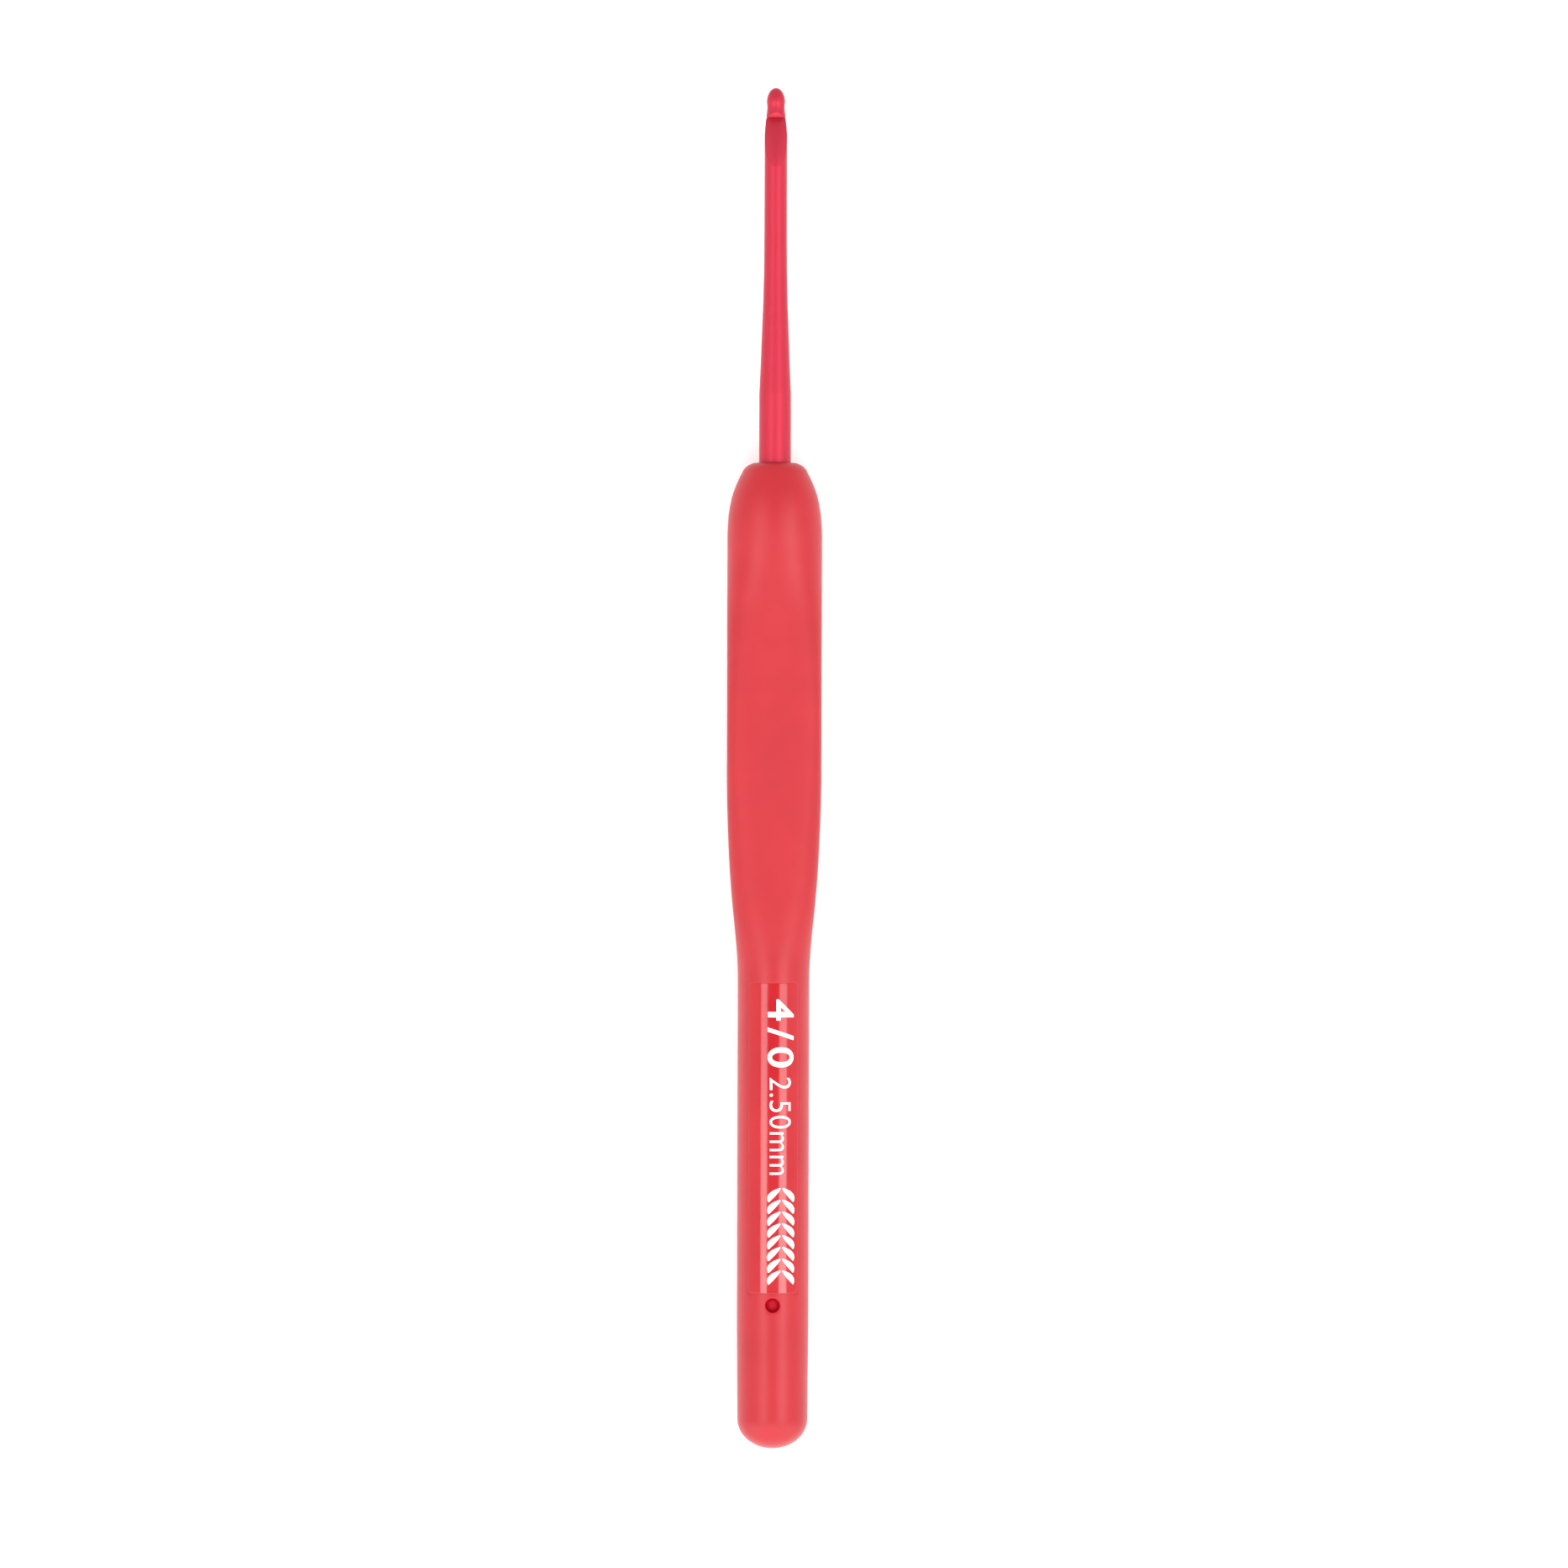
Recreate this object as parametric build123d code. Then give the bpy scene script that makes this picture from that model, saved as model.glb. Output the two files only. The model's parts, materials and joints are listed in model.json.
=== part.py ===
"""Crochet hook with a soft cushion grip: an aluminium hook, a hard core and a soft overmoulded grip.

Frame: the hook lies on a table. +Y runs along it to the tip, +Z is up and is the side that the
mouth of the hook and the size panel face. The origin is on the table, half-way along.
Distances called "from the tip" run back from the tip towards the tail. The pieces are modelled
about the hook's own axis and lifted to the table's height at the end.
"""
import os
from math import cos, radians, sin

from build123d import *

OVERALL = 150.0            # tip to tail

# Hook: one aluminium rod
WORKING_R = 1.25           # the size of the hook: 2.5 mm across
ROD_R = 1.755              # full rod, where it enters the handle
HEAD_R = 1.015
NOSE_LENGTH = 1.5          # the tip is half an ellipse of this length
WAIST_R = 0.965
WAIST_AT = 2.3             # from the tip, just ahead of the lip
NECK = [(1.07, 3.1), (1.19, 4.4)]      # radius, distance from the tip: waist to working shaft
WORKING_START = 6.0        # from the tip
WORKING_END = 16.0
TAPER = [(1.34, 22.8), (1.535, 28.3)]  # radius, distance from the tip: working shaft to full rod
TAPER_END = 33.8
TAPER_END_SLOPE = 0.05     # radius gained per millimetre where the taper meets the full rod
TANG_END = 92.0
TANG_CHAMFER = 0.6
KEY_WIDTH = 2.7            # across the two flats that stop the tang turning
KEY_START = 60.0
KEY_LENGTH = 14.0

# Throat, cut into the top of the rod
LIP_TOP_AT = 2.68          # where the lip starts to round over, from the tip
LIP_TOP_Z = 1.03
LIP_DIP = 6                # degrees below level at the same place
LIP_TOP_R = 0.9
LIP_TOP_TURN = 44          # degrees
LIP_EDGE_R = 0.14
LIP_LEAN = 13              # degrees that the lip's back face leans over the throat
LIP_BACK = 3.4             # just behind the lip, from the tip
LIP_EASE = 0.08            # rounding of the lip's rim
FLOOR_AT = 3.0             # the throat's deepest point, under the lip, from the tip
FLOOR_Z = -0.16
FLOOR_CROWN = 2.5          # radius from side to side, here and where the ramp runs out
RAMP_END = 9.6
RAMP_END_CROWN = 1.33
RAMP_OVERRUN = 0.03        # the ramp ends this far above the rod, so it runs out at a clear angle
RAMP_SECTIONS = 14
THROAT_TOP = 1.6           # height of the cutting shape, clear above the rod

# Handle
HANDLE_START = 41.4        # front face of the grip, from the tip
TAIL_START = 98.0          # from here back the grip is round
TAIL_R = 3.94
TAPER_START = 133.7
TAIL_END_R = 3.87
DOME_LENGTH = 3.25
# Shape of the grip ahead of its tail: distance from the tip, half width, half height, and
# squareness of the section (2 is an ellipse, more is a rounded box)
STATIONS = [
    (41.40, 2.42, 2.28, 2.0),
    (41.62, 2.92, 2.66, 2.0),
    (42.00, 3.36, 3.00, 2.0),
    (42.60, 3.70, 3.25, 2.0),
    (43.60, 4.18, 3.58, 2.0),
    (45.00, 4.69, 3.93, 2.0),
    (46.60, 5.02, 4.14, 2.0),
    (48.60, 5.20, 4.20, 2.0),
    (51.00, 5.22, 4.10, 2.05),
    (54.50, 5.22, 3.92, 2.35),
    (58.50, 5.22, 3.78, 3.0),
    (63.00, 5.21, 3.70, 4.2),
    (68.00, 5.21, 3.67, 5.4),
    (73.50, 5.21, 3.67, 5.4),
    (78.50, 5.18, 3.68, 4.3),
    (83.00, 5.03, 3.72, 3.7),
    (87.00, 4.81, 3.78, 3.3),
    (90.40, 4.53, 3.85, 2.8),
    (93.20, 4.24, 3.91, 2.4),
    (95.60, 4.04, 3.94, 2.1),
    (98.00, 3.94, 3.94, 2.0),
]
SECTION_POINTS = 40
FIRST_STEP = 0.2           # sections are this close at the front face,
STEP_GROWTH = 1.18         # and spread apart by this factor
LONGEST_STEP = 2.0

# Hard core inside the grip
CORE_R = 2.6
CORE_START = 43.4
CORE_END = 146.2
CORE_ROUND = 1.2           # rounding of its two ends
GROOVE_R = 2.25            # bottom of the rings that key the soft grip to the core
GROOVE_WIDTH = 2.4
GROOVE_PITCH = 8.0
GROOVE_COUNT = 6
FIRST_GROOVE = 49.0

# Size panel: the part of the core that fills the window in the grip
PANEL_START = 98.6
PANEL_END = 132.7
PANEL_HALF_WIDTH = 2.69
PANEL_ROOT_Z = 0.6
PANEL_PROUD = 0.03
PANEL_CORNER = 0.35
PANEL_EASE = 0.08

# Locating hole, part of the way through the grip
HOLE_AT = 134.0
HOLE_R = 0.8
HOLE_FLOOR_Z = 2.95
HOLE_EASE = 0.08

AXIS_HEIGHT = 4.2          # of the hook's axis above the table, where the shoulder rests
QUARTER_PULL = 0.5523      # length of a Bezier's handles that makes a quarter of an ellipse
TIP_Y = OVERALL / 2


def at(distance):
    """Y of a point at a distance back from the tip."""
    return TIP_Y - distance


def turned(outline):
    """Solid of revolution about the hook's axis, with its seam underneath."""
    return Rot(0, 90, 0) * revolve(make_face(outline), Axis.Y)


def rod_bar():
    """The turned form of the rod: nose, waist, working shaft, taper and tang."""
    nose = Bezier(
        (0, at(0)),
        (QUARTER_PULL * HEAD_R, at(0)),
        (HEAD_R, at(NOSE_LENGTH * (1 - QUARTER_PULL))),
        (HEAD_R, at(NOSE_LENGTH)),
    )
    neck = Spline(
        (HEAD_R, at(NOSE_LENGTH)),
        (WAIST_R, at(WAIST_AT)),
        *[(radius, at(distance)) for radius, distance in NECK],
        (WORKING_R, at(WORKING_START)),
        tangents=((0, -1), (0, -1)),
    )
    shaft = Line((WORKING_R, at(WORKING_START)), (WORKING_R, at(WORKING_END)))
    taper = Spline(
        (WORKING_R, at(WORKING_END)),
        *[(radius, at(distance)) for radius, distance in TAPER],
        (ROD_R, at(TAPER_END)),
        tangents=((0, -1), (TAPER_END_SLOPE, -1)),
    )
    tang = Polyline(
        (ROD_R, at(TAPER_END)),
        (ROD_R, at(TANG_END - TANG_CHAMFER)),
        (ROD_R - TANG_CHAMFER, at(TANG_END)),
        (0, at(TANG_END)),
        (0, at(0)),
    )
    return turned(nose + neck + shaft + taper + tang)


def floor_section(distance):
    """Circle across the rod whose top is on the throat's floor, or on the ramp behind it."""
    share = min(max((distance - FLOOR_AT) / (RAMP_END - FLOOR_AT), 0), 1)
    climb = sin(radians(90 * share))
    top = FLOOR_Z + (WORKING_R + RAMP_OVERRUN - FLOOR_Z) * climb
    crown = FLOOR_CROWN + (RAMP_END_CROWN - FLOOR_CROWN) * climb
    across = Plane((0, at(distance), top - crown), x_dir=(1, 0, 0), z_dir=(0, -1, 0))
    return Wire([across * CenterArc((0, 0), crown, 90, 360)])


def throat_floor():
    """What stays below the throat: floor and ramp, rounded from side to side."""
    spacing = (RAMP_END - LIP_TOP_AT) / RAMP_SECTIONS
    return Solid.make_loft(
        [floor_section(LIP_TOP_AT + step * spacing) for step in range(RAMP_SECTIONS + 2)]
    )


def throat_cutter():
    """The space of the throat: the lip in side view, drawn across the rod, down to the floor."""
    dip = radians(LIP_DIP)
    lip_top = JernArc(
        start=(at(LIP_TOP_AT), LIP_TOP_Z),
        tangent=(-cos(dip), -sin(dip)),
        radius=LIP_TOP_R,
        arc_size=LIP_TOP_TURN,
    )
    lip_edge = JernArc(
        start=lip_top @ 1,
        tangent=lip_top % 1,
        radius=LIP_EDGE_R,
        arc_size=90 + LIP_LEAN - LIP_DIP - LIP_TOP_TURN,
    )
    foot = lip_edge @ 1 + (lip_edge % 1) * ROD_R
    rest = Polyline(
        lip_edge @ 1,
        foot,
        (at(RAMP_END), foot.Y),
        (at(RAMP_END), THROAT_TOP),
        (at(LIP_TOP_AT), THROAT_TOP),
        lip_top @ 0,
    )
    side_view = make_face(lip_top + lip_edge + rest)
    return extrude(Plane.YZ.offset(-ROD_R) * side_view, 2 * ROD_R) - throat_floor()


def tang_flats():
    """What is pressed away from the tang to leave two flats."""
    block = Box(ROD_R, KEY_LENGTH, 4 * ROD_R, align=(Align.MIN, Align.MAX, Align.CENTER))
    right = Pos(KEY_WIDTH / 2, at(KEY_START), 0) * block
    return right + mirror(right, Plane.YZ)


def hook_shank():
    """Rod with its throat cut, the lip's rim rounded, and the tang keyed."""
    bar = rod_bar()
    cutter = throat_cutter()
    hook = bar - cutter
    rim = new_edges(bar, cutter, combined=hook).filter_by_position(Axis.Y, at(LIP_BACK), TIP_Y)
    return fillet(rim, LIP_EASE) - tang_flats()


def between_stations(distance):
    """Half width, half height and squareness at a distance, as smooth curves through STATIONS."""
    last = len(STATIONS) - 2
    index = min(last, sum(distance > row[0] for row in STATIONS[1:]))
    before = STATIONS[max(index - 1, 0)]
    start = STATIONS[index]
    end = STATIONS[index + 1]
    after = STATIONS[min(index + 2, last + 1)]
    gap = end[0] - start[0]
    t = (distance - start[0]) / gap
    values = []
    for column in (1, 2, 3):
        slope = (end[column] - start[column]) / gap
        slope_in = slope
        slope_out = slope
        if index > 0:
            gap_in = start[0] - before[0]
            earlier = (start[column] - before[column]) / gap_in
            slope_in = (earlier * gap + slope * gap_in) / (gap + gap_in)
        if index < last:
            gap_out = after[0] - end[0]
            later = (after[column] - end[column]) / gap_out
            slope_out = (later * gap + slope * gap_out) / (gap + gap_out)
        else:
            slope_out = 0
        rise = slope * gap
        bend_in = slope_in * gap - rise
        bend_out = slope_out * gap - rise
        values.append(start[column] + rise * t + t * (1 - t) * (bend_in * (1 - t) - bend_out * t))
    return values


def section_places():
    """Distances of the sections: close together at the front face, then evenly spread."""
    places = [0.0]
    step = FIRST_STEP
    while places[-1] < TAIL_START - HANDLE_START:
        places.append(places[-1] + step)
        step = min(step * STEP_GROWTH, LONGEST_STEP)
    stretch = (TAIL_START - HANDLE_START) / places[-1]
    return [HANDLE_START + place * stretch for place in places]


def grip_section(distance):
    """Closed curve across the handle, between an ellipse and a rounded box."""
    half_width, half_height, squareness = between_stations(distance)
    points = []
    for step in range(SECTION_POINTS):
        turn = radians(360 * step / SECTION_POINTS)
        reach = (abs(cos(turn)) ** squareness + abs(sin(turn)) ** squareness) ** (-1 / squareness)
        x = half_width * reach * cos(turn)
        z = half_height * reach * sin(turn)
        points.append(Vector(x, at(distance), z))
    steps = [step / SECTION_POINTS for step in range(SECTION_POINTS + 1)]
    return Wire([Edge.make_spline(points, periodic=True, parameters=steps)])


def grip_front():
    """Shoulder and thumb rest, ending in a circle where the round tail starts."""
    sections = [grip_section(distance) for distance in section_places()[:-1]]
    across = Plane((0, at(TAIL_START), 0), x_dir=(1, 0, 0), z_dir=(0, -1, 0))
    sections.append(Wire([across * CenterArc((0, 0), TAIL_R, 0, 360)]))
    return Solid.make_loft(sections)


def grip_tail():
    """Round tail with its domed end."""
    barrel = Line((TAIL_R, at(TAIL_START)), (TAIL_R, at(TAPER_START)))
    taper = Spline(
        barrel @ 1,
        (TAIL_END_R, at(OVERALL - DOME_LENGTH)),
        tangents=((0, -1), (0, -1)),
    )
    dome = EllipticalCenterArc(
        (0, at(OVERALL - DOME_LENGTH)), TAIL_END_R, DOME_LENGTH, start_angle=270, arc_size=90
    )
    axis = Polyline((0, at(OVERALL)), (0, at(TAIL_START)), barrel @ 0)
    return turned(barrel + taper + dome + axis)


def window_block():
    """Upright block with rounded corners, as wide and long as the window in the grip."""
    length = PANEL_END - PANEL_START
    plan = RectangleRounded(2 * PANEL_HALF_WIDTH, length, PANEL_CORNER)
    middle = Pos(0, at(PANEL_START + length / 2), PANEL_ROOT_Z)
    return extrude(middle * plan, TAIL_R)


def locating_hole():
    """The space of the small round hole behind the panel."""
    floor = Pos(0, at(HOLE_AT), HOLE_FLOOR_Z)
    return floor * Cylinder(HOLE_R, TAIL_R, align=(Align.CENTER, Align.CENTER, Align.MIN))


def along_axis(radius, start, end):
    """Cylinder on the hook's axis between two distances from the tip."""
    rod = Cylinder(radius, end - start)
    return Pos(0, at((start + end) / 2), 0) * Rot(90, 0, 0) * rod


def groove(start):
    """Ring cut away from the core, reaching well outside it."""
    end = start + GROOVE_WIDTH
    return along_axis(2 * CORE_R, start, end) - along_axis(GROOVE_R, start, end)


def size_panel():
    """Glossy raised pad that fills the window, a hair proud of the grip."""
    skin = along_axis(TAIL_R + PANEL_PROUD, TAIL_START, HOLE_AT)
    pad = window_block() & skin
    rim = pad.faces().filter_by(GeomType.CYLINDER).sort_by(Axis.Z)[-1].edges()
    return fillet(rim, PANEL_EASE)


def handle_core(hook):
    """Ribbed core moulded round the tang, with the size panel on top."""
    bar = along_axis(CORE_R, CORE_START, CORE_END)
    bar = fillet(bar.edges().filter_by(GeomType.CIRCLE), CORE_ROUND)
    for number in range(GROOVE_COUNT):
        bar -= groove(FIRST_GROOVE + number * GROOVE_PITCH)
    return bar + size_panel() - hook


def cushion_grip(hook, core):
    """Soft grip moulded over the core, with its window and locating hole."""
    outside = grip_front() + grip_tail()
    opened = outside - locating_hole()
    mouth = new_edges(outside, locating_hole(), combined=opened).sort_by(Axis.Z)[-1]
    opened = fillet(mouth, HOLE_EASE)
    return opened - window_block() - core - hook


def main():
    hook = hook_shank()
    core = handle_core(hook)
    grip = cushion_grip(hook, core)
    os.makedirs("parts", exist_ok=True)
    for name, piece in (("hook_shank", hook), ("handle_core", core), ("cushion_grip", grip)):
        export_step(Pos(0, 0, AXIS_HEIGHT) * piece, f"parts/{name}.step")
        print(name, piece.is_valid, round(piece.volume, 2), len(piece.solids()), len(piece.faces()))


main()
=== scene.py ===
import json
import math

import bmesh
import bpy
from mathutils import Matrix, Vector
from mathutils.noise import noise as smooth_noise


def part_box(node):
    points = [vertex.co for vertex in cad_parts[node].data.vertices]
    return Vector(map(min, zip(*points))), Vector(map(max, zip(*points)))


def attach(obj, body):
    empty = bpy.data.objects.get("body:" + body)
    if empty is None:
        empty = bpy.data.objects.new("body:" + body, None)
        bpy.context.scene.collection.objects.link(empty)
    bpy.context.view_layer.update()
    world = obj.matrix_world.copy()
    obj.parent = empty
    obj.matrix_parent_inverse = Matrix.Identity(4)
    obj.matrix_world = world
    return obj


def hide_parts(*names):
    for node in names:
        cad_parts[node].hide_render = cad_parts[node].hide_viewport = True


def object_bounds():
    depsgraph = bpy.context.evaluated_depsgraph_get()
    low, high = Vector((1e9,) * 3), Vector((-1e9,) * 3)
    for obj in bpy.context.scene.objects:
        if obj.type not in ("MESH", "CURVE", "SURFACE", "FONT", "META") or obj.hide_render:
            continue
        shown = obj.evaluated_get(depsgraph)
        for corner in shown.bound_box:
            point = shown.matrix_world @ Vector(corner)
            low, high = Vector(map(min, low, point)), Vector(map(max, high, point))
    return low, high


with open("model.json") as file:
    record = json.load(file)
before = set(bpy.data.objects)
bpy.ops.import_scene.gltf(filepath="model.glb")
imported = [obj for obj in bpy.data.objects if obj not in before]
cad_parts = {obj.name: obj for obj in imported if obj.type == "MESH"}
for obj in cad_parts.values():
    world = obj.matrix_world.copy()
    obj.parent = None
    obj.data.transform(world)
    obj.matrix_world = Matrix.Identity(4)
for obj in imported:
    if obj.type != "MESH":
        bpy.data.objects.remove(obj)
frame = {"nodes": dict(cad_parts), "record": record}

# The crochet hook lies along Y with its tip at +Y and its size panel up. Metres throughout.
MM = 0.001
CAD_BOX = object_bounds()
TAIL_Y = CAD_BOX[0][1]
TIP_Y = CAD_BOX[1][1]
LENGTH = TIP_Y - TAIL_Y
AXIS_Z = frame["record"]["mounts"][0]["pos_m"][2]
PANEL_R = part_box("handle_core")[1].z - AXIS_Z
BORE_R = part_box("hook_shank")[1].x
GRIP_FRONT_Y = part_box("cushion_grip")[1].y
# The blind hole behind the size panel: its distance from the tip and its radius, in millimetres
HOLE_AT = 134.0
HOLE_R = 0.8


# ---------------------------------------------------------------- materials

def new_material(name):
    """A new material and its Principled shader."""
    material = bpy.data.materials.new(name)
    material.use_nodes = True
    nodes = material.node_tree.nodes
    nodes.clear()
    output = nodes.new("ShaderNodeOutputMaterial")
    shader = nodes.new("ShaderNodeBsdfPrincipled")
    material.node_tree.links.new(shader.outputs[0], output.inputs[0])
    return material, shader


def add(material, kind, **values):
    """Adds a node and sets its inputs or its own properties by name."""
    node = material.node_tree.nodes.new(kind)
    for key, value in values.items():
        if key in node.inputs:
            node.inputs[key].default_value = value
        else:
            setattr(node, key, value)
    return node


def link(material, source, target):
    material.node_tree.links.new(source, target)


def object_coordinates(material, scale):
    """Coordinates in the row frame, multiplied by scale along each axis."""
    place = add(material, "ShaderNodeTexCoord")
    mapping = add(material, "ShaderNodeMapping", Scale=scale)
    link(material, place.outputs["Object"], mapping.inputs["Vector"])
    return mapping.outputs[0]


def noise(material, scale, detail=2.0, roughness=0.5):
    node = add(material, "ShaderNodeTexNoise", Scale=1.0, Detail=detail, Roughness=roughness)
    link(material, object_coordinates(material, scale), node.inputs["Vector"])
    return node.outputs["Fac"]


def spread(material, source, low, high):
    """Maps a noise value, mostly between 0.3 and 0.7, to a range."""
    node = add(material, "ShaderNodeMapRange")
    node.inputs["From Min"].default_value = 0.3
    node.inputs["From Max"].default_value = 0.7
    node.inputs["To Min"].default_value = low
    node.inputs["To Max"].default_value = high
    link(material, source, node.inputs["Value"])
    return node.outputs[0]


def colour_sockets(sockets):
    """The sockets of a mix node that carry colours."""
    return [socket for socket in sockets if socket.type == "RGBA"]


def colour_between(material, source, first, second):
    node = add(material, "ShaderNodeMix", data_type="RGBA")
    for socket, colour in zip(colour_sockets(node.inputs), (first, second)):
        socket.default_value = colour
    link(material, source, node.inputs["Factor"])
    return colour_sockets(node.outputs)[0]


def bump(material, source, strength, distance):
    node = add(material, "ShaderNodeBump", Strength=strength, Distance=distance)
    link(material, source, node.inputs["Height"])
    return node.outputs[0]


def stops_ramp(nodes, stops, top):
    """Colour ramp that turns a place from 0 to 1 into a share of top, through the given stops."""
    ramp = nodes.new("ShaderNodeValToRGB")
    ramp.color_ramp.interpolation = "EASE"
    marks = ramp.color_ramp.elements
    while len(marks) < len(stops):
        marks.new(0.5)
    for mark, (place, level) in zip(marks, stops):
        mark.position = place
        mark.color = (level / top,) * 3 + (1,)
    return ramp


def every(pitch):
    """Texture scale that gives features about this far apart, in metres, the same along each axis."""
    return (1 / pitch,) * 3


def anodised_metal():
    material, shader = new_material("anodised_metal")
    shader.inputs["Metallic"].default_value = 0.65
    shader.inputs["Coat Weight"].default_value = 0.06
    shader.inputs["Coat Roughness"].default_value = 0.4
    draw = noise(material, (1 / (0.08 * MM), 1 / (4 * MM), 1 / (0.08 * MM)), 3)
    tint = colour_between(
        material, spread(material, draw, 0, 1), (0.395, 0.014, 0.035, 1), (0.425, 0.018, 0.040, 1)
    )
    link(material, tint, shader.inputs["Base Color"])
    link(material, spread(material, draw, 0.48, 0.54), shader.inputs["Roughness"])
    link(material, bump(material, draw, 0.12, 0.004 * MM), shader.inputs["Normal"])
    return material


def core_plastic():
    material, shader = new_material("core_plastic")
    tint = colour_between(
        material,
        spread(material, noise(material, every(6 * MM)), 0, 1),
        (0.345, 0.004, 0.009, 1),
        (0.375, 0.006, 0.012, 1),
    )
    link(material, tint, shader.inputs["Base Color"])
    waves = noise(material, every(1.5 * MM), 1)
    link(material, spread(material, waves, 0.12, 0.16), shader.inputs["Roughness"])
    link(material, bump(material, waves, 0.05, 0.01 * MM), shader.inputs["Normal"])
    return material


# Roughness of the soft grip by place along the hook, where 0 is the tail and 1 the tip: it is
# smoothest on the tail and most matt on the thumb rest
GRIP_ROUGHNESS = [(0.33, 0.39), (0.41, 0.58), (0.60, 0.58), (0.65, 0.45)]


def grip_elastomer():
    material, shader = new_material("grip_elastomer")
    shader.inputs["Specular IOR Level"].default_value = 0.40
    cloud = noise(material, every(5 * MM), 2)
    tint = colour_between(
        material, spread(material, cloud, 0, 1), (0.335, 0.0040, 0.0100, 1), (0.365, 0.0060, 0.0125, 1)
    )
    link(material, tint, shader.inputs["Base Color"])
    along = add(material, "ShaderNodeSeparateXYZ")
    link(material, object_coordinates(material, (1, 1 / LENGTH, 1)), along.inputs[0])
    place = add(material, "ShaderNodeMapRange")
    place.inputs["From Min"].default_value = TAIL_Y / LENGTH
    place.inputs["From Max"].default_value = TIP_Y / LENGTH
    link(material, along.outputs["Y"], place.inputs["Value"])
    matt = stops_ramp(material.node_tree.nodes, GRIP_ROUGHNESS, 1)
    link(material, place.outputs[0], matt.inputs[0])
    link(material, matt.outputs[0], shader.inputs["Roughness"])
    grain = noise(material, every(0.12 * MM), 3)
    link(material, bump(material, grain, 0.3, 0.015 * MM), shader.inputs["Normal"])
    return material


# The hole's floor has painted light within the first share of its radius, and painted shade past the second
HOLLOW_PAINTED_LIGHT = 0.35
HOLLOW_PAINTED_SHADE = 0.85


def hollow_painted_light_and_shade():
    """The elastomer down in its blind hole: a deep red, with painted light in the middle of the floor and
    painted shade, darkest where the floor meets the wall.
    """
    material, shader = new_material("hollow_painted_light_and_shade")
    shader.inputs["Specular IOR Level"].default_value = 0.0
    aside = add(material, "ShaderNodeVectorMath", operation="DISTANCE")
    link(material, object_coordinates(material, (1, 1, 0)), aside.inputs[0])
    aside.inputs[1].default_value = (0, TIP_Y - HOLE_AT * MM, 0)
    reach = add(material, "ShaderNodeMapRange", interpolation_type="SMOOTHSTEP")
    reach.inputs["From Min"].default_value = HOLLOW_PAINTED_LIGHT * HOLE_R * MM
    reach.inputs["From Max"].default_value = HOLLOW_PAINTED_SHADE * HOLE_R * MM
    link(material, aside.outputs["Value"], reach.inputs["Value"])
    # painted light in the middle of the floor, turning to painted shade towards the wall
    tint = colour_between(
        material, reach.outputs[0], (0.50, 0.018, 0.034, 1), (0.42, 0.005, 0.015, 1)
    )
    link(material, tint, shader.inputs["Base Color"])
    shader.inputs["Roughness"].default_value = 0.8
    return material


def print_ink():
    material, shader = new_material("print_ink")
    fleck = noise(material, every(0.2 * MM), 2)
    tint = colour_between(
        material, spread(material, fleck, 0, 1), (0.80, 0.78, 0.79, 1), (0.86, 0.85, 0.86, 1)
    )
    link(material, tint, shader.inputs["Base Color"])
    link(material, spread(material, fleck, 0.3, 0.45), shader.inputs["Roughness"])
    return material


def floor_paper():
    material, shader = new_material("floor_paper")
    shader.inputs["Base Color"].default_value = (0.86, 0.86, 0.86, 1)
    shader.inputs["Roughness"].default_value = 0.9
    return material


# ---------------------------------------------------------------- printing on the size panel

INK_R = PANEL_R + 0.012 * MM    # the ink lies just proud of the panel
PRINT_SLICES = 14
STITCHES = 8
STITCH_PITCH = 1.3
# One leaf of a stitch: its length, how far out from the middle it starts, how far it reaches from
# there, its half width at the ends and what it gains in the middle, and the direction across it
LEAF_STEPS = 10
LEAF_LENGTH = 1.5
LEAF_START = 0.13
LEAF_REACH = 1.25
LEAF_TIP = 0.05
LEAF_SWELL = 0.27
LEAF_FULLNESS = 0.8
LEAF_ACROSS = (0.6, 0.8)
# Where each print lies: distances of its two ends from the tip, in millimetres, and two angles from
# the top
NUMBER_PLACE = (100.40, 107.86, -0.157, 0.593)
DIAMETER_PLACE = (108.98, 119.63, -0.098, 0.508)
STITCHES_PLACE = (121.1, 131.7, -0.154, 0.634)


def thicken(mesh, weight):
    """Moves the outline of a flat mesh outwards by weight, or inwards where weight is negative."""
    bm = bmesh.new()
    bm.from_mesh(mesh)
    outward = {}
    for edge in bm.edges:
        if len(edge.link_faces) > 1:
            continue
        start, end = edge.verts
        along = end.co - start.co
        away = Vector((along.y, -along.x, 0)).normalized()
        if away.dot(edge.link_faces[0].calc_center_median() - start.co) > 0:
            away.negate()
        for vertex in edge.verts:
            outward.setdefault(vertex, []).append(away)
    for vertex, (first, second) in outward.items():
        vertex.co += weight * (first + second) / (1 + first.dot(second))
    bm.to_mesh(mesh)
    bm.free()


def flat_words(words, weight, spacing):
    """Mesh of the words in the built-in font, lying flat, with strokes made thicker by weight."""
    curve = bpy.data.curves.new(words, "FONT")
    curve.body = words
    curve.space_character = spacing
    curve.resolution_u = 8
    holder = bpy.data.objects.new(words, curve)
    bpy.context.scene.collection.objects.link(holder)
    mesh = bpy.data.meshes.new_from_object(holder)
    bpy.data.objects.remove(holder)
    thicken(mesh, weight)
    return mesh


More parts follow.
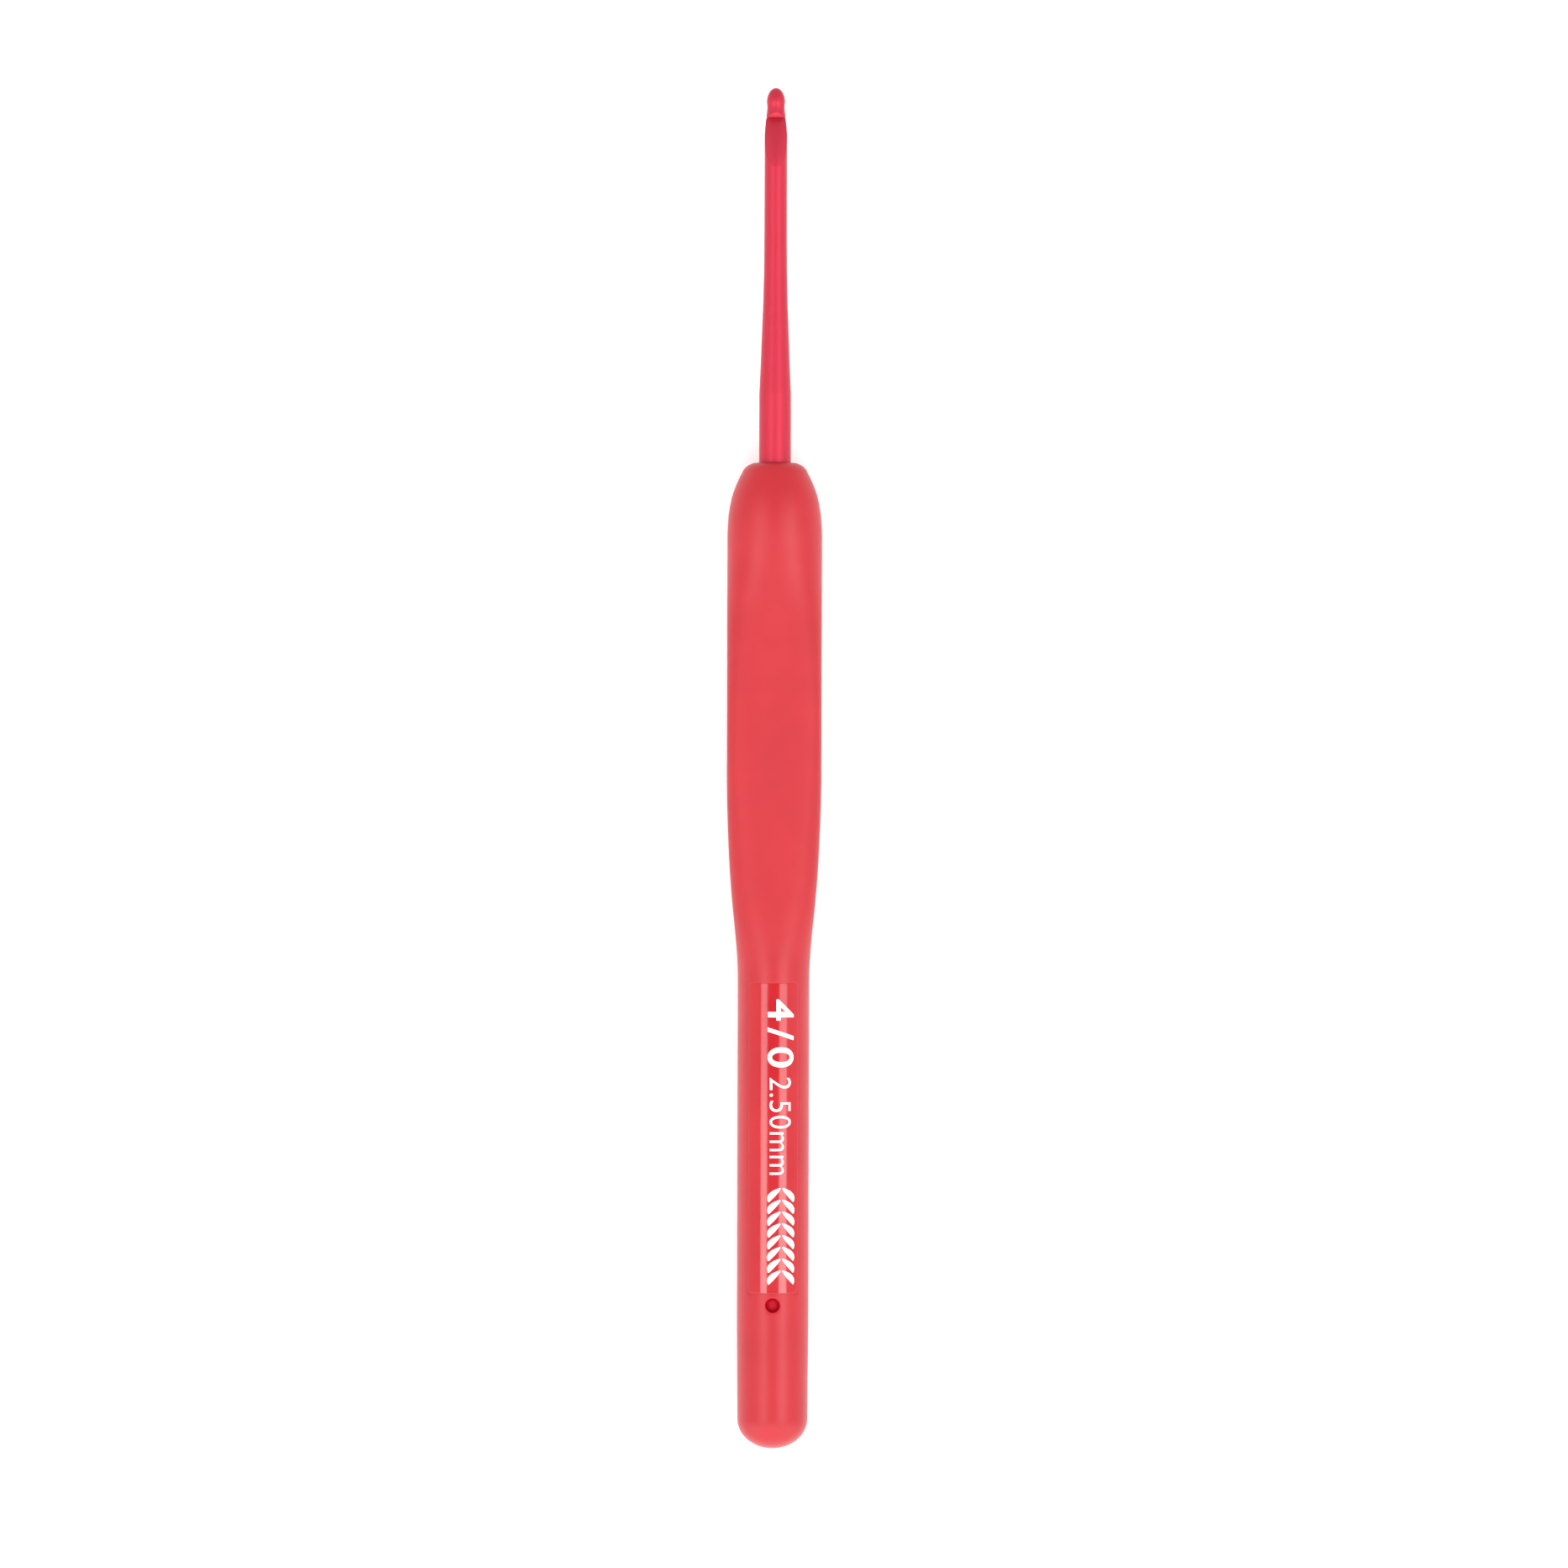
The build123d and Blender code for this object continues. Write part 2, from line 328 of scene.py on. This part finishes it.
def stitch_row():
    """Mesh of a row of V-shaped chain stitches, lying flat. Each stitch is a pair of curved leaves."""
    bm = bmesh.new()
    for stitch in range(STITCHES):
        for side in (-1, 1):
            rungs = []
            for step in range(LEAF_STEPS + 1):
                share = step / LEAF_STEPS
                half_width = LEAF_TIP + LEAF_SWELL * math.sin(math.pi * share) ** LEAF_FULLNESS
                along = stitch * STITCH_PITCH + LEAF_LENGTH * share
                out = side * (LEAF_START + LEAF_REACH * math.sin(math.pi / 2 * share))
                back = LEAF_ACROSS[0] * half_width
                up = side * LEAF_ACROSS[1] * half_width
                left = bm.verts.new((along - back, out + up, 0))
                right = bm.verts.new((along + back, out - up, 0))
                rungs.append((left, right))
            for (a, b), (c, d) in zip(rungs, rungs[1:]):
                bm.faces.new((a, b, d, c) if side > 0 else (b, a, c, d))
    mesh = bpy.data.meshes.new("stitch_row")
    bm.to_mesh(mesh)
    bm.free()
    return mesh


def print_on_panel(name, artwork, place, ink):
    """Fits flat artwork into its place, wrapped on the panel."""
    start, end, low, high = place
    bm = bmesh.new()
    bm.from_mesh(artwork)
    left = min(vertex.co.x for vertex in bm.verts)
    width = max(vertex.co.x for vertex in bm.verts) - left
    bottom = min(vertex.co.y for vertex in bm.verts)
    height = max(vertex.co.y for vertex in bm.verts) - bottom
    for number in range(1, PRINT_SLICES):
        cut = bottom + height * number / PRINT_SLICES
        geometry = bm.verts[:] + bm.edges[:] + bm.faces[:]
        bmesh.ops.bisect_plane(bm, geom=geometry, plane_co=(0, cut, 0), plane_no=(0, 1, 0))
    for vertex in bm.verts:
        along = (vertex.co.x - left) / width
        angle = low + (high - low) * (vertex.co.y - bottom) / height
        vertex.co = (
            INK_R * math.sin(angle),
            TIP_Y - (start + (end - start) * along) * MM,
            AXIS_Z + INK_R * math.cos(angle),
        )
    mesh = bpy.data.meshes.new(name)
    bm.to_mesh(mesh)
    bm.free()
    bpy.data.meshes.remove(artwork)
    mesh.materials.append(ink)
    piece = bpy.data.objects.new(name, mesh)
    bpy.context.scene.collection.objects.link(piece)
    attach(piece, "root")


def make_print():
    """The size in two systems, then a row of chain stitches, read from the tip's side."""
    ink = print_ink()
    print_on_panel("print_size_number", flat_words("4/0", 0.012, 1.3), NUMBER_PLACE, ink)
    print_on_panel("print_size_mm", flat_words("2.50mm", -0.009, 1.05), DIAMETER_PLACE, ink)
    print_on_panel("print_stitches", stitch_row(), STITCHES_PLACE, ink)


# ---------------------------------------------------------------- soft grip

# Shape of the grip ahead of its round tail: distance from the tip, half width, half height and
# squareness of the section (2 is an ellipse, more is a rounded box), in millimetres
STATIONS = [
    (41.40, 2.42, 2.28, 2.0),
    (41.62, 2.92, 2.66, 2.0),
    (42.00, 3.36, 3.00, 2.0),
    (42.60, 3.70, 3.25, 2.0),
    (43.60, 4.18, 3.58, 2.0),
    (45.00, 4.69, 3.93, 2.0),
    (46.60, 5.02, 4.14, 2.0),
    (48.60, 5.20, 4.20, 2.0),
    (51.00, 5.22, 4.10, 2.05),
    (54.50, 5.22, 3.92, 2.35),
    (58.50, 5.22, 3.78, 3.0),
    (63.00, 5.21, 3.70, 4.2),
    (68.00, 5.21, 3.67, 5.4),
    (73.50, 5.21, 3.67, 5.4),
    (78.50, 5.18, 3.68, 4.3),
    (83.00, 5.03, 3.72, 3.7),
    (87.00, 4.81, 3.78, 3.3),
    (90.40, 4.53, 3.85, 2.8),
    (93.20, 4.24, 3.91, 2.4),
    (95.60, 4.04, 3.94, 2.1),
    (98.00, 3.94, 3.94, 2.0),
]
TAIL_R = 3.94
TAPER_START = 133.7
TAIL_END_R = 3.87
DOME_START = 146.75
GRIP_END = 150.0
WINDOW_START = 98.6
WINDOW_END = 132.7
WINDOW_HALF_WIDTH = 2.69
WINDOW_CORNER = 0.35
HOLE_FLOOR_Z = 2.95        # above the axis
HOLE_WALL = 0.5            # depth of the hole's upright wall, before its floor is closed
HOLE_PATCH = 0.75          # half the length of the patch of mesh that the hole is cut from
HOLE_COLUMNS = 6           # columns of mesh across that patch
HOLE_MARGIN = 1.02         # share of the hole's radius within which a face belongs to the hole
RIM_TURNS = (30, 60, 90)   # degrees through which a rolled rim turns, step by step
RIM_ROLL = 0.03            # how far the soft edge of the window and of the hole rolls over
OVERLAP = 0.04             # how far the soft edge closes over the panel's eased rim
WINDOW_DEPTH = 0.6
WINDOW_COLUMNS = 24        # across the window
BACK_COLUMNS = 72          # round the rest
UNEVEN = 0.008             # millimetres that a soft moulding departs from its true shape
NICK_START = 41.75         # small nick in the top of the collar
NICK_END = 42.65
NICK_DEPTH = 0.05
# Radius of the front bore, and how far behind the grip's front face, at each of its rings
BORE = [
    (BORE_R, 3 * MM),
    (BORE_R, 0.06 * MM),
    (BORE_R + 0.06 * MM, 0),
    (BORE_R + 0.3 * MM, 0),
]
# Insets, as shares of the radius, and heights of the rings that round the foot of the hole
FLOOR_RINGS = [(1.0, 0.06), (0.97, 0.015), (0.9, 0.0)]
# Rows of the mesh: where each stretch starts and ends, and the step between its rows
ROW_STRETCHES = [
    (STATIONS[0][0], 43.6, 0.1),
    (43.6, 50, 0.3),
    (50, WINDOW_START - 1.2, 0.6),
    (WINDOW_START - 1.2, WINDOW_START, 0.3),
    (WINDOW_START, WINDOW_START + 0.6, 0.15),
    (WINDOW_START + 0.6, WINDOW_END - 0.6, 0.6),
    (WINDOW_END - 0.6, WINDOW_END, 0.15),
    (WINDOW_END, HOLE_AT - HOLE_PATCH, 0.275),
    (HOLE_AT - HOLE_PATCH, HOLE_AT + HOLE_PATCH, 0.25),
    (HOLE_AT + HOLE_PATCH, DOME_START, 0.4),
]
DOME_ROWS = 18


def station_slopes():
    """How fast half width, half height and squareness change at each of STATIONS."""
    gaps = [b[0] - a[0] for a, b in zip(STATIONS, STATIONS[1:])]
    steps = [
        [(b[column] - a[column]) / gap for column in (1, 2, 3)]
        for a, b, gap in zip(STATIONS, STATIONS[1:], gaps)
    ]
    slopes = [steps[0]]
    for before, after, gap_in, gap_out in zip(steps, steps[1:], gaps, gaps[1:]):
        slopes.append([(p * gap_out + q * gap_in) / (gap_in + gap_out) for p, q in zip(before, after)])
    slopes.append([0, 0, 0])
    return slopes


SLOPES = station_slopes()


def shoulder_section(distance):
    """Half width, half height and squareness of the grip ahead of its tail."""
    index = min(len(STATIONS) - 2, sum(distance > row[0] for row in STATIONS[1:]))
    start = STATIONS[index]
    end = STATIONS[index + 1]
    gap = end[0] - start[0]
    t = (distance - start[0]) / gap
    values = []
    for column in (1, 2, 3):
        rise = end[column] - start[column]
        bend_in = SLOPES[index][column - 1] * gap - rise
        bend_out = SLOPES[index + 1][column - 1] * gap - rise
        values.append(start[column] + rise * t + t * (1 - t) * (bend_in * (1 - t) - bend_out * t))
    return values


def tail_radius(distance):
    """Radius of the round tail, which tapers slightly to a domed end."""
    if distance < DOME_START:
        share = min(max((distance - TAPER_START) / (DOME_START - TAPER_START), 0), 1)
        return TAIL_R + (TAIL_END_R - TAIL_R) * share * share * (3 - 2 * share)
    share = (distance - DOME_START) / (GRIP_END - DOME_START)
    return TAIL_END_R * math.sqrt(max(1 - share * share, 0))


def grip_point(distance, angle):
    """Point on the grip at a distance from the tip and an angle from straight up, towards +X."""
    across = math.sin(angle)
    up = math.cos(angle)
    if distance < STATIONS[-1][0]:
        half_width, half_height, squareness = shoulder_section(distance)
        reach = (abs(across) ** squareness + abs(up) ** squareness) ** (-1 / squareness)
        point = Vector((half_width * reach * across, 0, half_height * reach * up))
    else:
        radius = tail_radius(distance)
        point = Vector((radius * across, 0, radius * up))
    wave = smooth_noise(Vector((4 * across, distance / 7, 4 * up)))
    point *= 1 + UNEVEN * wave / max(point.length, 1)
    if angle == 0 and NICK_START < distance < NICK_END:
        point.z -= NICK_DEPTH
    return Vector((point.x * MM, TIP_Y - distance * MM, AXIS_Z + point.z * MM))


def evenly(start, end, step):
    """Places from start up to, but without, end, about a step apart."""
    count = max(round((end - start) / step), 1)
    return [start + (end - start) * number / count for number in range(count)]


def grip_rows():
    """Distances of the mesh's rows: close at the collar, at the window's ends and round the dome."""
    rows = [place for start, end, step in ROW_STRETCHES for place in evenly(start, end, step)]
    dome = GRIP_END - DOME_START
    rows += [
        DOME_START + dome * math.sin(math.pi / 2 * number / DOME_ROWS) for number in range(DOME_ROWS)
    ]
    return rows


def grip_columns():
    """Angles of the mesh's columns, so that two of them run along the window's sides."""
    side = math.asin(WINDOW_HALF_WIDTH / TAIL_R)
    middle = WINDOW_COLUMNS // 2
    front = [side * number / middle for number in range(-middle, middle)]
    back = [
        side + (2 * math.pi - 2 * side) * number / BACK_COLUMNS for number in range(BACK_COLUMNS)
    ]
    return front + back


def fit_opening(vertices, middle, half_x, half_y, corner):
    """Moves an opening's border vertices sideways on to a rectangle with rounded corners."""
    for vertex in vertices:
        offset = Vector((vertex.co.x - middle.x, vertex.co.y - middle.y))
        inner = Vector((
            min(max(offset.x, corner - half_x), half_x - corner),
            min(max(offset.y, corner - half_y), half_y - corner),
        ))
        outward = offset - inner
        if outward.length > 0:
            outward *= corner / outward.length
        vertex.co.x = middle.x + inner.x + outward.x
        vertex.co.y = middle.y + inner.y + outward.y


def sink_opening(bm, inside, middle, half_x, half_y, corner, depth):
    """Opens the faces in inside into a hole with a rolled rim and upright walls. Returns its foot."""
    border = [
        edge for face in inside for edge in face.edges
        if sum(other in inside for other in edge.link_faces) == 1
    ]
    bmesh.ops.delete(bm, geom=list(inside), context="FACES")
    rim = {vertex for edge in border for vertex in edge.verts}
    radii = {vertex: math.hypot(vertex.co.x, vertex.co.z - AXIS_Z) for vertex in rim}
    fit_opening(rim, middle, half_x + RIM_ROLL * MM, half_y + RIM_ROLL * MM, corner + RIM_ROLL * MM)
    for vertex, radius in radii.items():
        vertex.co.z = AXIS_Z + (radius ** 2 - vertex.co.x ** 2) ** 0.5
    reached = 0
    for turn in RIM_TURNS + (None,):
        shrink = RIM_ROLL * MM * (1 - math.sin(math.radians(turn))) if turn else 0
        sunk = RIM_ROLL * MM * (1 - math.cos(math.radians(turn))) if turn else depth
        made = bmesh.ops.extrude_edge_only(bm, edges=border)["geom"]
        ring = [item for item in made if isinstance(item, bmesh.types.BMVert)]
        border = [
            item for item in made
            if isinstance(item, bmesh.types.BMEdge) and len(item.link_faces) == 1
        ]
        fit_opening(ring, middle, half_x + shrink, half_y + shrink, corner + shrink)
        for vertex in ring:
            vertex.co.z -= sunk - reached
        reached = sunk
    return border


def close_floor(bm, foot, floor_z):
    """Closes the foot of a blind hole with a level floor, a little rounded where it meets the wall."""
    ring = {vertex for edge in foot for vertex in edge.verts}
    middle = sum((vertex.co for vertex in ring), Vector()) / len(ring)
    for inset, lift in FLOOR_RINGS:
        for vertex in ring:
            vertex.co.z = floor_z + lift * MM
            if inset == 1.0:
                continue
            vertex.co.x = middle.x + (vertex.co.x - middle.x) * inset
            vertex.co.y = middle.y + (vertex.co.y - middle.y) * inset
        made = bmesh.ops.extrude_edge_only(bm, edges=foot)["geom"]
        ring = {item for item in made if isinstance(item, bmesh.types.BMVert)}
        foot = [
            item for item in made
            if isinstance(item, bmesh.types.BMEdge) and len(item.link_faces) == 1
        ]
    for vertex in ring:
        vertex.co = (middle.x, middle.y, floor_z)
    bmesh.ops.remove_doubles(bm, verts=list(ring), dist=0.001 * MM)


def make_grip(skin, painted_hollow):
    """The soft grip's skin: one smooth surface with the window, the locating hole and the front bore."""
    rows = grip_rows()
    columns = grip_columns()
    bm = bmesh.new()
    rings = [[bm.verts.new(grip_point(row, angle)) for angle in columns] for row in rows]
    bore = [
        [
            bm.verts.new((radius * math.sin(angle), GRIP_FRONT_Y - back, AXIS_Z + radius * math.cos(angle)))
            for angle in columns
        ]
        for radius, back in BORE
    ]
    rings = bore + rings
    openings = {"window": set(), "hole": set()}
    around = len(columns)
    for number, (ring, following) in enumerate(zip(rings, rings[1:])):
        for column in range(around):
            beside = (column + 1) % around
            face = bm.faces.new((ring[column], ring[beside], following[beside], following[column]))
            if number < len(bore):
                continue
            distance = (rows[number - len(bore)] + rows[number - len(bore) + 1]) / 2
            if WINDOW_START < distance < WINDOW_END and column < WINDOW_COLUMNS:
                openings["window"].add(face)
            off_middle = abs(column + 0.5 - WINDOW_COLUMNS / 2)
            if abs(distance - HOLE_AT) < HOLE_PATCH and off_middle < HOLE_COLUMNS / 2:
                openings["hole"].add(face)
    end = bm.verts.new((0, TIP_Y - GRIP_END * MM, AXIS_Z))
    for column in range(around):
        bm.faces.new((rings[-1][column], rings[-1][(column + 1) % around], end))
    middle = Vector((0, TIP_Y - (WINDOW_START + WINDOW_END) / 2 * MM))
    half_length = (WINDOW_END - WINDOW_START) / 2 * MM
    sink_opening(bm, openings["window"], middle, (WINDOW_HALF_WIDTH - OVERLAP) * MM,
                 half_length - OVERLAP * MM, WINDOW_CORNER * MM, WINDOW_DEPTH * MM)
    hole = Vector((0, TIP_Y - HOLE_AT * MM))
    radius = HOLE_R * MM
    foot = sink_opening(bm, openings["hole"], hole, radius, radius, radius, HOLE_WALL * MM)
    close_floor(bm, foot, AXIS_Z + HOLE_FLOOR_Z * MM)
    for face in bm.faces:
        face.smooth = True
        centre = face.calc_center_median()
        # the hole's faces take the hollow finish, with its painted light and painted shade
        if math.hypot(centre.x, centre.y - hole.y) < HOLE_MARGIN * radius and centre.z > AXIS_Z:
            face.material_index = 1
    bmesh.ops.recalc_face_normals(bm, faces=bm.faces[:])
    mesh = bpy.data.meshes.new("grip_skin")
    bm.to_mesh(mesh)
    bm.free()
    mesh.materials.append(skin)
    mesh.materials.append(painted_hollow)
    piece = bpy.data.objects.new("grip_skin", mesh)
    bpy.context.scene.collection.objects.link(piece)
    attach(piece, "root")
    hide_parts("cushion_grip")


# ---------------------------------------------------------------- studio

WORLD_TOP = 3.0
# Brightness by direction: along Y, where 0 is in front of the tail and 1 is behind the tip
FRONT_TO_BACK = [
    (0.0, 2.2),
    (0.25, 3.0),
    (0.44, 1.65),
    (0.47, 0.75),
    (0.495, 0.12),
    (0.53, 0.12),
    (0.64, 0.75),
    (0.8, 1.15),
    (1.0, 1.0),
]
# and by how far aside, where 0 is the hook's own upright plane and 1 is level to one side
MIDDLE_TO_SIDE = [(0.0, 0.0), (0.62, 0.0), (0.74, 1.15), (1.0, 1.3)]
STRIP_DISTANCE = 0.5
# Each strip light: name, angle from straight up and half angle across, in degrees, and brightness
STRIPS = [("strip_left", -29.3, 10.2, 5.25), ("strip_right", 31.6, 12.0, 5.5)]
# Each soft box of a strip light: its two ends along Y, and its share of the strip's brightness
STRIP_SHARES = [(-0.13, -0.075, 1.3), (-0.075, -0.05, 1.0), (-0.05, -0.025, 0.62), (-0.025, 0.13, 1.0)]
FLOOR_HALF = 1.5
# The camera: its height over the hook's axis, the share of the frame's height that the hook fills,
# how far it stands aside and back as shares of the hook's length, and its turn in radians
CAMERA_HEIGHT = 0.8
HOOK_SHARE = 0.8676
CAMERA_ASIDE = 0.0073
CAMERA_BACK = 0.0117
CAMERA_TURN = 0.0028


def make_camera():
    """Straight above the hook, with the hook filling most of the frame's height."""
    camera = bpy.data.cameras.new("camera")
    camera.sensor_width = 36
    camera.lens = camera.sensor_width * CAMERA_HEIGHT / (LENGTH / HOOK_SHARE)
    holder = bpy.data.objects.new("camera", camera)
    holder.location = (CAMERA_ASIDE * LENGTH, -CAMERA_BACK * LENGTH, AXIS_Z + CAMERA_HEIGHT)
    holder.rotation_euler = (0, 0, CAMERA_TURN)
    bpy.context.scene.collection.objects.link(holder)
    bpy.context.scene.camera = holder


def strip_light(name, angle, half_angle, brightness):
    """Row of soft boxes along Y, seen from the hook's axis at an angle from straight up."""
    lean = math.radians(angle)
    width = 2 * STRIP_DISTANCE * math.tan(math.radians(half_angle))
    for number, (start, end, share) in enumerate(STRIP_SHARES):
        light = bpy.data.lights.new(f"{name}_{number}", "AREA")
        light.shape = "RECTANGLE"
        light.size = width
        light.size_y = end - start
        light.energy = brightness * share * math.pi * width * (end - start)
        holder = bpy.data.objects.new(light.name, light)
        holder.location = (
            STRIP_DISTANCE * math.sin(lean),
            (start + end) / 2,
            AXIS_Z + STRIP_DISTANCE * math.cos(lean),
        )
        holder.rotation_euler = (0, lean, 0)
        holder.visible_camera = False
        bpy.context.scene.collection.objects.link(holder)


def make_world():
    """White studio: bright beyond the tail, less so beyond the tip and at both sides, dark overhead."""
    world = bpy.data.worlds.new("studio")
    world.use_nodes = True
    nodes = world.node_tree.nodes
    links = world.node_tree.links
    direction = nodes.new("ShaderNodeTexCoord")
    axes = nodes.new("ShaderNodeSeparateXYZ")
    links.new(direction.outputs["Generated"], axes.inputs[0])
    along = nodes.new("ShaderNodeMapRange")
    along.inputs["From Min"].default_value = -1
    links.new(axes.outputs["Y"], along.inputs["Value"])
    front = stops_ramp(nodes, FRONT_TO_BACK, WORLD_TOP)
    links.new(along.outputs[0], front.inputs[0])
    aside = nodes.new("ShaderNodeMath")
    aside.operation = "ABSOLUTE"
    links.new(axes.outputs["X"], aside.inputs[0])
    sides = stops_ramp(nodes, MIDDLE_TO_SIDE, WORLD_TOP)
    links.new(aside.outputs[0], sides.inputs[0])
    brighter = nodes.new("ShaderNodeMix")
    brighter.data_type = "RGBA"
    brighter.blend_type = "LIGHTEN"
    brighter.inputs["Factor"].default_value = 1
    colours = colour_sockets(brighter.inputs)
    links.new(front.outputs[0], colours[0])
    links.new(sides.outputs[0], colours[1])
    background = nodes["Background"]
    background.inputs["Strength"].default_value = WORLD_TOP
    links.new(colour_sockets(brighter.outputs)[0], background.inputs["Color"])
    bpy.context.scene.world = world


def make_floor():
    mesh = bpy.data.meshes.new("floor")
    signs = ((-1, -1), (1, -1), (1, 1), (-1, 1))
    corners = [(x * FLOOR_HALF, y * FLOOR_HALF, 0) for x, y in signs]
    mesh.from_pydata(corners, [], [(0, 1, 2, 3)])
    floor = bpy.data.objects.new("floor", mesh)
    mesh.materials.append(floor_paper())
    bpy.context.scene.collection.objects.link(floor)


FINISHES = {
    "hook_shank": anodised_metal(),
    "handle_core": core_plastic(),
    "cushion_grip": grip_elastomer(),
}
for node, material in FINISHES.items():
    mesh = frame["nodes"][node].data
    mesh.materials.clear()
    mesh.materials.append(material)

make_print()
make_grip(FINISHES["cushion_grip"], hollow_painted_light_and_shade())
make_camera()
for strip in STRIPS:
    strip_light(*strip)
make_world()
make_floor()
bpy.context.scene.view_settings.view_transform = "Standard"
